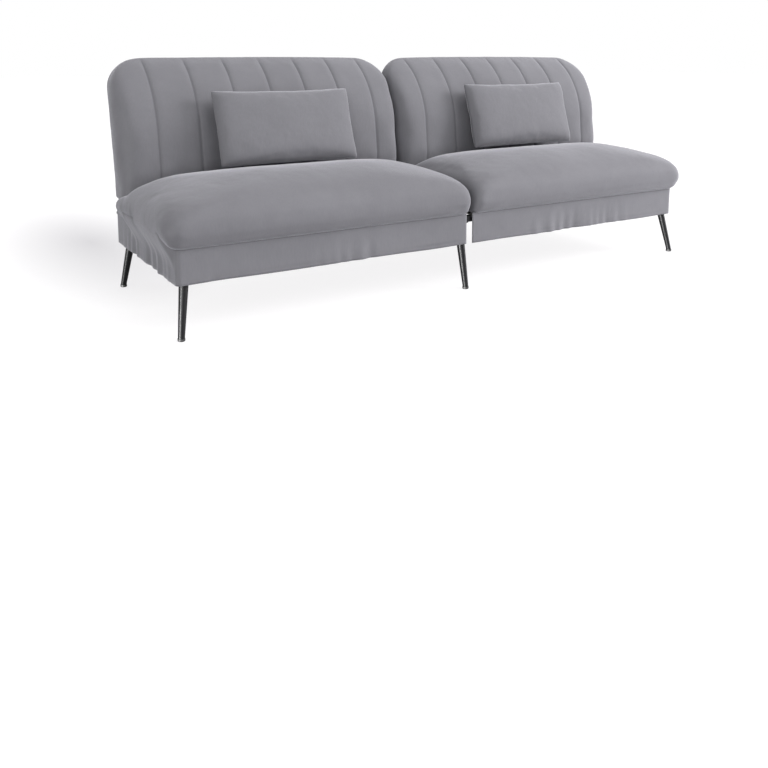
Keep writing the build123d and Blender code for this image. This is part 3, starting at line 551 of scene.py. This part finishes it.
SKIRT_TOP = 0.2640
SKIRT_HEM = 0.1575
SKIRT_CORNER = 0.012
SKIRT_CLOTH = 0.0024
SKIRT_STEP = 0.006
SKIRT_ROWS = 14
INNER_REACH = 0.2178
GAP_SHIFT = 0.008
HEM_LINE = 0.013
STITCH_WIDE = 0.0016
END_FADE = (0.004, 0.050, 0.420, 0.478)
FLARE_SUNK = 0.0020
FLARE_END = 0.70


def round_path(corners, step):
    """Points every step along straight runs with rounded corners, and outward normals."""
    places, outward = [], []
    for i, corner in enumerate(corners):
        if i in (0, len(corners) - 1):
            places.append(Vector(corner))
            continue
        before = (Vector(corners[i - 1]) - Vector(corner)).normalized()
        after = (Vector(corners[i + 1]) - Vector(corner)).normalized()
        for turn in range(9):
            share = turn / 8
            start = Vector(corner) + before * SKIRT_CORNER
            end = Vector(corner) + after * SKIRT_CORNER
            places.append(start.lerp(Vector(corner), share).lerp(
                Vector(corner).lerp(end, share), share))
    lengths = [0.0]
    for first, second in zip(places, places[1:]):
        lengths.append(lengths[-1] + (second - first).length)
    count = max(8, round(lengths[-1] / step))
    at = np.linspace(0, lengths[-1], count + 1)
    xs = np.interp(at, lengths, [p.x for p in places])
    ys = np.interp(at, lengths, [p.y for p in places])
    dx, dy = np.gradient(xs), np.gradient(ys)
    scale = np.hypot(dx, dy)
    return at, xs, ys, -dy / scale, dx / scale


def hung_skirt(name, corners, folds, end_run, seat_end, seed):
    """A strip wrapped round the frame. Folds give where it is loose and how deep, and
    end_run where it is drawn up and out to the swell of the seat's end."""
    at, xs, ys, nx, ny = round_path(corners, SKIRT_STEP)
    bm = bmesh.new()
    bmesh.ops.create_grid(bm, x_segments=len(at) - 1, y_segments=SKIRT_ROWS, size=0.5)

    def wander(per_metre, channel):
        return np.array([noise.noise(Vector((s * per_metre, seed, channel))) for s in at])

    swing = np.zeros(len(at))
    for start, end, depth in folds:
        share = np.clip((at - start) / (end - start), 0, 1)
        swing += np.sin(pi * share) ** 0.5 * depth * (wander(10, 0) + 0.55 * wander(30, 3))
    sway, drop = wander(6, 5), wander(4, 9)
    swell = flare = np.zeros(len(at))
    if end_run:
        swell = ease(at, end_run[0], end_run[1]) * (1 - ease(at, end_run[2], end_run[3]))
        flare = np.maximum(0, np.interp(ys, *seat_end) - np.abs(xs) - FLARE_SUNK) * swell
    for v in bm.verts:
        i = round((v.co.x + 0.5) * (len(at) - 1))
        fall = 0.5 - v.co.y
        loose = max(0.0, (fall - 0.15) / 0.85) ** 1.2
        out = loose * (0.0015 - swing[i] - 0.0022 * sway[i])
        out += flare[i] * (1 - ease(fall, 0, FLARE_END))
        top = SKIRT_TOP + (SEWN_AT - SKIRT_TOP) * swell[i]
        z = top + (SKIRT_HEM - top) * fall + 0.0022 * drop[i] * fall
        v.co = Vector((xs[i] + nx[i] * out, ys[i] + ny[i] * out, z))
    bmesh.ops.recalc_face_normals(bm, faces=bm.faces)
    skirt = shown(name, bm)
    points = points_of(skirt)
    above_hem = points[:, 2] - SKIRT_HEM
    # The stitched hem line is painted darker in the velvet: painted shade along it, and dirt.
    mark_seam_shade_and_dirt(skirt, 0.7 * np.exp(-((above_hem - HEM_LINE) / STITCH_WIDE) ** 2))
    wall = skirt.modifiers.new("lining", "SOLIDIFY")
    wall.thickness = SKIRT_CLOTH
    wall.offset = 0
    dress(skirt, velvet)
    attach(skirt, "base")
    return skirt


for side, sign in (("left", -1), ("right", 1)):
    low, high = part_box(f"{side}_skirt")
    outer_x, inner_x = (low.x, high.x) if sign < 0 else (high.x, low.x)
    wall = SKIRT_CLOTH / 2
    front_y, rear_y = low.y + wall, high.y - wall
    outer_x -= sign * wall
    inner_x += sign * wall - (GAP_SHIFT if sign > 0 else 0)
    middle_y = (front_y + rear_y) / 2
    around = [(inner_x, front_y), (outer_x, front_y), (outer_x, rear_y), (inner_x, rear_y)]
    if sign > 0:
        around = around[::-1]
    front_run = abs(outer_x - inner_x)
    if sign < 0:
        folds = [(0.34, 0.66, 0.0120), (0.80, 0.98, 0.0040), (1.03, 1.62, 0.0120),
                 (1.95, 2.45, 0.0090)]
    else:
        folds = [(0.20, 0.60, 0.0090), (1.08, 1.60, 0.0120), (1.93, 2.46, 0.0170)]
    swell = ([front_run + s for s in END_FADE] if sign < 0 else
             [rear_y - front_y + front_run - s for s in reversed(END_FADE)])
    outer_skirt = hung_skirt(f"{side}_skirt_round", around, folds, swell, seat_ends[side],
                             2.0 + sign)
    inner = [(inner_x, middle_y - sign * INNER_REACH), (inner_x, middle_y + sign * INNER_REACH)]
    hung_skirt(f"{side}_skirt_inner", inner, [], (), 0, 6.0 + sign)
    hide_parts(f"{side}_skirt")

# Backs. Each is a foam slab in a velvet cover, rounded at the top corners. Seven lines
# are sewn through it from the seat over the top, and the stuffing swells between them
# into eight channels. Two slots behind hold the hinges, and a board closes the rear.

BACK_WIDE = 1.056
BACK_HALF = 0.0725
BACK_REACH = 0.4560
BACK_CORNER = 0.104
FRONT_EDGE = 0.044
REAR_EDGE = 0.016
PITCH = 0.139
BACK_VOXEL = PITCH / 14
SEAMS = [(i - 3) * PITCH for i in range(7)]
RECLINED_FROM = radians(-6)
LUMBAR_SWELL = 0.0200
ROLL_START = 0.18
ROLL_RADIUS = 0.33
TOP_ARCH = 0.006
FOOT_TUCK = 0.038
GROOVE_WIDE = 0.012
GROOVE_DEEP = 0.0030
SEAM_WIDE = 0.0032
SEAM_DEEP = 0.0030
BACK_SWELL = 0.0055
BACK_DENTS = 0.0009
END_GIVE = 0.006
SEAM_DRIFT = {"left": (0.014, 0.004), "right": (0.006, 0.005)}


def seam_distance(x):
    return np.min(np.abs(x[:, None] - np.array(SEAMS)[None, :]), axis=1)


def back_slab(bm):
    bmesh.ops.create_cube(bm, size=1)
    bmesh.ops.scale(bm, vec=(BACK_WIDE, 2 * BACK_HALF, BACK_REACH + BACK_HALF), verts=bm.verts)
    bmesh.ops.translate(bm, vec=(0, 0, (BACK_REACH - BACK_HALF) / 2), verts=bm.verts)
    foot = [e for e in bm.edges if all(v.co.z < 0 for v in e.verts)
            and abs(e.verts[0].co.x - e.verts[1].co.x) > 0.5]
    bmesh.ops.bevel(bm, geom=foot, offset=BACK_HALF * 0.999, offset_type="OFFSET",
                    segments=10, profile=0.5, affect="EDGES", material=-1)
    corners = [e for e in bm.edges if all(v.co.z > BACK_REACH - 0.001 for v in e.verts)
               and abs(e.verts[0].co.y - e.verts[1].co.y) > 0.1]
    bmesh.ops.bevel(bm, geom=corners, offset=BACK_CORNER, offset_type="OFFSET",
                    segments=12, profile=0.5, affect="EDGES", material=-1)
    for offset, side in ((FRONT_EDGE, -1), (REAR_EDGE, 1)):
        rim = [e for e in bm.edges if e.is_manifold and e.calc_face_angle() > radians(50)
               and all(v.co.y * side > -0.001 for v in e.verts)]
        bmesh.ops.bevel(bm, geom=rim, offset=offset, offset_type="OFFSET",
                        segments=6, profile=0.5, affect="EDGES", material=-1)


def rolled(points):
    """Swells the slab's front over the seat and rolls it back towards the top."""
    roll = ROLL_RADIUS - np.sqrt(ROLL_RADIUS ** 2 - np.maximum(0, points[:, 2] - ROLL_START) ** 2)
    front = roll - LUMBAR_SWELL * ease(points[:, 2], -0.01, 0.08)
    share = np.clip((BACK_HALF - points[:, 1]) / (2 * BACK_HALF), 0, 1)
    points[:, 1] += front * share
    points[:, 2] -= (TOP_ARCH * (points[:, 0] * 2 / BACK_WIDE) ** 2
                     * ease(points[:, 2], 0.2, BACK_REACH))
    return points


def tucked(points, sign):
    """Draws in the lower rear of the slab's outer end, which turns beside the seat's roll."""
    y, z = points[:, 1], points[:, 2]
    low = ease(-z, 0.034, 0.056)
    rear = ease(y, 0.010, 0.045) * (1 - ease(z, -0.045, -0.012))
    end = ease(sign * points[:, 0], BACK_WIDE / 2 - 0.11, BACK_WIDE / 2)
    points[:, 0] -= sign * FOOT_TUCK * np.maximum(low, rear) * end
    return points


def sewn_face(points, normals):
    """How far each point is from a sewn line, and its share in the channelled face."""
    near = seam_distance(points[:, 0])
    faced = np.clip(-normals[:, 1] * 2.5, 0, 1) * ease(points[:, 2], 0.0, 0.05)
    return near, faced * ease(-points[:, 2], -BACK_REACH, -BACK_REACH + 0.035)


for side, sign in (("left", -1), ("right", 1)):
    bm = bmesh.new()
    back_slab(bm)
    back = shown(f"{side}_back_pad", bm)
    remeshed(back, BACK_VOXEL, BACK_VOXEL / 2)
    relaxed(back, 2, lambda co: co.z > 0)
    put_points(back, tucked(rolled(points_of(back)), sign))
    points, normals = points_of(back), normals_of(back)
    near, faced = sewn_face(points, normals)
    groove = np.exp(-(near / GROOVE_WIDE) ** 2) * faced
    points -= normals * (0.0020 + GROOVE_DEEP * groove)[:, None]
    put_points(back, points)
    sewn = (near < BACK_VOXEL * 0.3) & (faced > 0.2)
    board = points[:, 1] > 0.06
    foot = points[:, 2] < 0.03
    blown_up(back, sewn | board | foot, pressure=2.5, cap=BACK_SWELL, slack=0.002)
    relaxed(back, 8, lambda co: abs(co.x) > SEAMS[-1] + 0.016 and co.z > 0.03
            and co.y < 0.055)
    rounder(back)
    points, normals = points_of(back), normals_of(back)
    near, faced = sewn_face(points, normals)
    pull = np.exp(-(near / SEAM_WIDE) ** 2) * faced
    points -= normals * (SEAM_DEEP * pull)[:, None]
    points += normals * (dents(points, 6.0, 11.0 + sign) * BACK_DENTS)[:, None]
    points[:, 1] = np.minimum(points[:, 1], BACK_HALF)
    points[:, 0] = np.clip(points[:, 0], -BACK_WIDE / 2 - (END_GIVE if sign < 0 else 0),
                           BACK_WIDE / 2 + (END_GIVE if sign > 0 else 0))
    left_drift, right_drift = SEAM_DRIFT[side]
    drift = left_drift + (right_drift - left_drift) * ease(points[:, 0], -0.05, 0.40)
    points[:, 0] += drift * (1 - np.minimum(1, np.abs(points[:, 0] * 2 / BACK_WIDE)) ** 6)
    put_points(back, points)
    # The sewn lines are painted darker in the velvet: painted shade in their grooves, and dirt.
    mark_seam_shade_and_dirt(back, np.exp(-(near / 0.0030) ** 2) * faced)
    slots = [((s * HINGE_STEP - 0.0143, -0.021, -0.08), (s * HINGE_STEP + 0.0143, 0.09, 0.147))
             for s in (-1, 1)]
    board_room = ((-0.4603, 0.0655, 0.0997), (0.4603, 0.09, 0.3753))
    cut_away(back, slots + [board_room])
    back.data.transform(Matrix.Translation((sign * BACK_MIDDLE, *HINGE_LINE))
                        @ Matrix.Rotation(RECLINED_FROM, 4, "X"))
    upholstered(back, f"{side}_back", f"{side}_back_cushion")

# Pillows. Two loose lumbar cushions lean on the backs. Each is two oblongs of velvet
# sewn edge to edge and stuffed full, so its sides draw in between pointed corners.

PILLOW_SIZE = (0.526, 0.268, 0.094)
PILLOW_LEAN = 18
PILLOW_GRID = (72, 36)
PILLOW_SWELL = 0.005
PILLOW_DENTS = 0.0014
PILLOW_CENTRES = {"left": (-0.508, 0.0700, 0.5595), "right": (0.541, 0.0700, 0.5635)}


def place_number(part):
    """A number for a point, edge or face by its place. The extrusion gives its edges and
    faces in a new order in each run, and the cloth's shape would change a little with it."""
    corners = part.verts if hasattr(part, "verts") else [part]
    middle = sum((v.co for v in corners), Vector()) / len(corners)
    return middle.z * 1e6 + middle.y * 1e3 + middle.x


for side, sign in (("left", -1), ("right", 1)):
    bm = bmesh.new()
    bmesh.ops.create_grid(bm, x_segments=PILLOW_GRID[0], y_segments=PILLOW_GRID[1], size=1)
    made = bmesh.ops.extrude_face_region(bm, geom=bm.faces[:])["geom"]
    bmesh.ops.translate(bm, verts=[g for g in made if isinstance(g, bmesh.types.BMVert)],
                        vec=(0, 0, 1))
    for parts in (bm.verts, bm.edges, bm.faces):
        parts.sort(key=place_number)
    bmesh.ops.recalc_face_normals(bm, faces=bm.faces)
    cushion = shown(f"{side}_lumbar_pillow", bm)
    points = points_of(cushion)
    u, v, upper = points[:, 0].copy(), points[:, 1].copy(), points[:, 2] > 0.5
    fullness = np.sqrt(np.clip((1 - u ** 6) * (1 - v ** 6), 0, 1))
    fullness *= 0.82 + 0.18 * (1 - u ** 2) * (1 - v ** 2)
    half_x, half_y, half_z = (size / 2 for size in PILLOW_SIZE)
    points[:, 0] = u * (half_x - 0.005 * (1 - v ** 2) - 0.003 * v ** 8)
    drawn = np.where(v > 0, 0.005, 0.0015)
    points[:, 1] = v * (half_y - drawn * (1 - u ** 2) - 0.003 * u ** 8)
    points[:, 2] = np.where(upper, 1, -1) * (0.0015 + (half_z - 0.006) * fullness)
    put_points(cushion, points)
    blown_up(cushion, np.zeros(len(points), bool), pressure=2.0, cap=PILLOW_SWELL,
             slack=0.006, stiff=15.0, bend=0.3)
    rounder(cushion)
    points = points_of(cushion)
    uneven = dents(points, 9.0, 21.0 + 4 * sign) * PILLOW_DENTS
    points += normals_of(cushion) * uneven[:, None]
    put_points(cushion, points)
    # The seam round the pillow's edge is painted darker in the velvet: painted shade along it, and
    # dirt.
    mark_seam_shade_and_dirt(cushion, 0.8 * np.exp(-(points[:, 2] / 0.0025) ** 2))
    cushion.data.transform(Matrix.Translation(PILLOW_CENTRES[side])
                           @ Matrix.Rotation(radians(90 - PILLOW_LEAN), 4, "X"))
    upholstered(cushion, f"{side}_pillow_body", f"{side}_pillow")

# Steelwork. The rails, legs, hinges and the back's frame are steel under gloss black
# powder coat, and the pins, screws and bolts are zinc plated.

black_coat, coat = new_finish("gloss_black_powder_coat")
orange_peel = coat.grain(900.0, 2.0, 0.5)
dust = coat.grain(18.0, 4.0, 0.65)
coat.surface(
    Base_Color=coat.tone(dust, (0.005, 0.005, 0.006), (0.012, 0.012, 0.013)),
    Roughness=0.20 + dust * 0.12,
    Specular_IOR_Level=0.16,
    Coat_Weight=0.12,
    Coat_Roughness=0.12,
    Normal=coat.relief(orange_peel, 0.10, 0.0004),
)
zinc, coat = new_finish("zinc_plate")
spangle = coat.grain(350.0, 3.0, 0.6)
coat.surface(
    Base_Color=coat.tone(spangle, (0.42, 0.42, 0.43), (0.62, 0.62, 0.64)),
    Metallic=1.0,
    Roughness=0.28 + spangle * 0.22,
    Normal=coat.relief(spangle, 0.15, 0.0002),
)
moulding, coat = new_finish("moulded_black")
texture = coat.grain(1600.0, 2.0, 0.6)
coat.surface(
    Base_Color=coat.tone(texture, (0.012, 0.012, 0.012), (0.026, 0.026, 0.027)),
    Roughness=0.45 + texture * 0.25,
    Normal=coat.relief(texture, 0.35, 0.0003),
)
lining, coat = new_finish("black_lining")
threads_x = coat.node("ShaderNodeTexWave", {"wave_type": "BANDS", "bands_direction": "X"},
                      {"Vector": coat.place(), "Scale": 160.0, "Distortion": 0.6}, out=1)
threads_z = coat.node("ShaderNodeTexWave", {"wave_type": "BANDS", "bands_direction": "Z"},
                      {"Vector": coat.place(), "Scale": 160.0, "Distortion": 0.6}, out=1)
weave = threads_x * 0.5 + threads_z * 0.5
slub = coat.grain(60.0, 3.0, 0.6)
coat.surface(
    Base_Color=coat.tone(weave * 0.5 + slub * 0.5, (0.018, 0.018, 0.020), (0.060, 0.060, 0.064)),
    Roughness=0.80 + slub * 0.15,
    Sheen_Weight=0.15,
    Normal=coat.relief(weave + slub * 0.5, 0.5, 0.0006),
)
deck_cloth, coat = new_finish("deck_board")
fibres = coat.grain(420.0, 3.0, 0.6, coat.place((1, 0.25, 1)))
stain = coat.grain(9.0, 4.0, 0.6)
coat.surface(
    Base_Color=coat.tone(fibres * 0.6 + stain * 0.4, (0.050, 0.048, 0.046), (0.120, 0.115, 0.108)),
    Roughness=0.75 + fibres * 0.15,
    Normal=coat.relief(fibres, 0.4, 0.0005),
)
FINISHES = {"black_steel": black_coat, "zinc_steel": zinc, "black_plastic": moulding,
            "black_rubber": moulding, "lining_cloth": lining, "deck_board": deck_cloth,
            "grey_velvet": velvet}
for part in frame["record"]["subparts"]:
    dress(frame["nodes"][part["node"]], FINISHES[part["material_slot"]])
